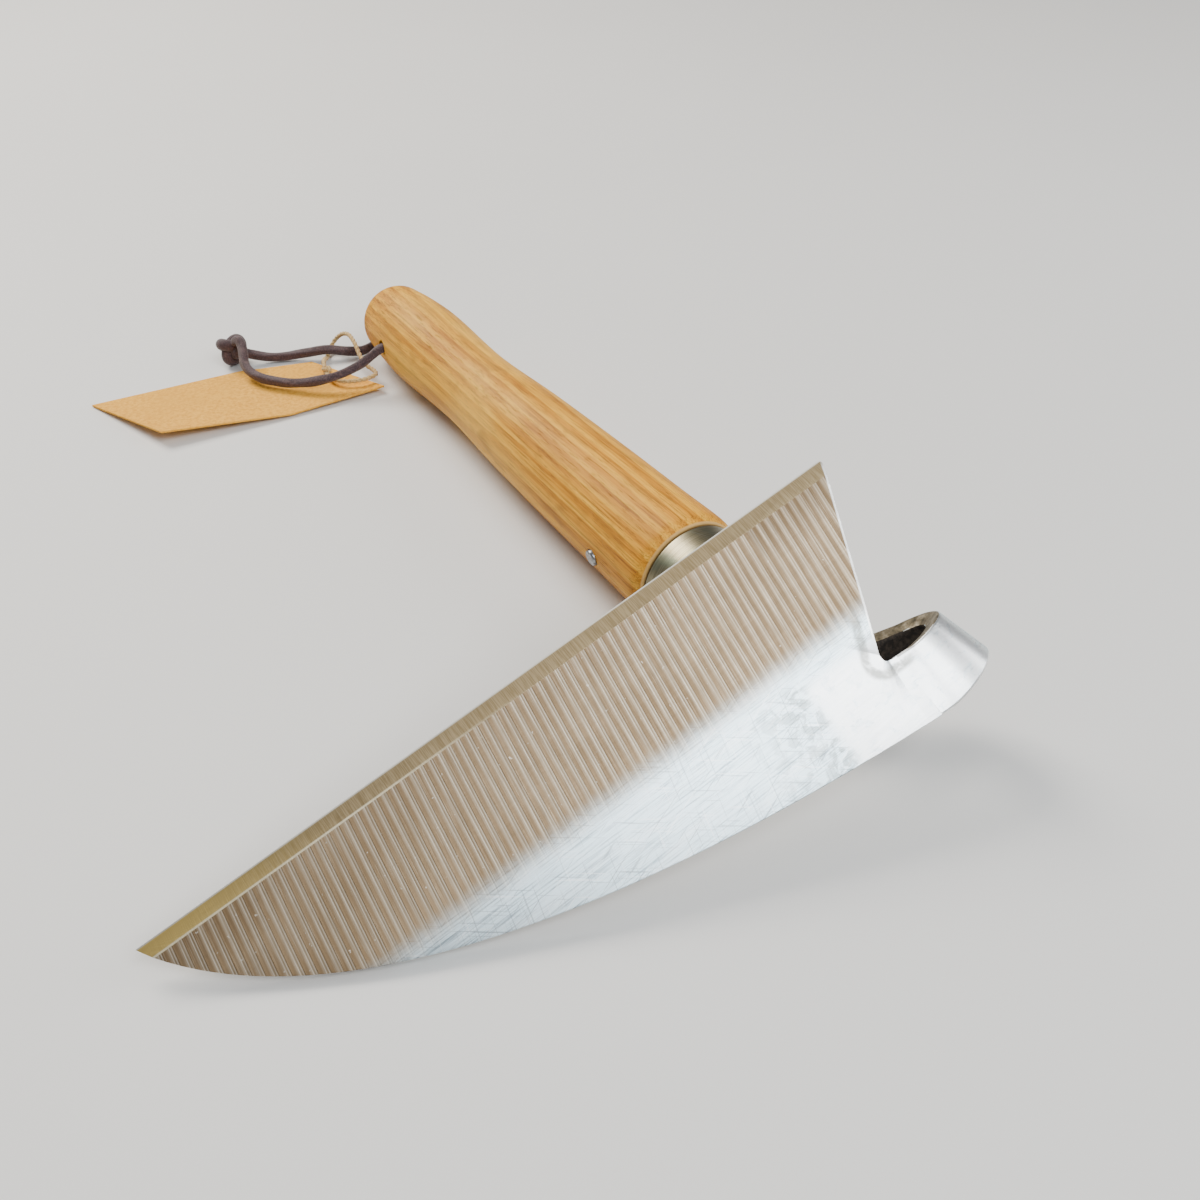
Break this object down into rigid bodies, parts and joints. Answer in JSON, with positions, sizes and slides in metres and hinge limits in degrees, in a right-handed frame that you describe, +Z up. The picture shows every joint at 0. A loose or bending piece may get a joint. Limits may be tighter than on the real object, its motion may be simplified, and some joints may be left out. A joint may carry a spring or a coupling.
{
  "type": "hand hoe",
  "caption": "Half-moon draw hoe for weeding: flat ground blade, strap neck that doubles back behind it, turned wooden handle with ferrule, leather thong and card tag.",
  "frame": {"origin": "centre of the tool's footprint as it lies at rest, on the surface, without the thong, knot, string and tag", "axes": "+Z up from the surface; +X along the blade's length in plan, tip towards -X; +Y from the blade towards the handle's butt"},
  "size_m": [0.2381, 0.2508, 0.053],
  "materials": {
    "blade_steel": "ground across in fine even grooves, satin polished along the back",
    "neck_steel": "satin polished, forged edges",
    "ferrule_steel": "polished",
    "pin_steel": "satin",
    "handle_wood": "oiled, satin",
    "thong_leather": "matte",
    "string_fibre": "matte",
    "tag_card": "uncoated kraft card"
  },
  "bodies": {
    "root": {"blade": "blade_steel", "neck": "neck_steel", "handle": "handle_wood", "ferrule": "ferrule_steel", "cross_pin": "pin_steel", "thong_front": "thong_leather", "thong_back": "thong_leather", "thong_knot": "thong_leather", "tag_string": "string_fibre", "tag": "tag_card"}
  },
  "joints": []
}
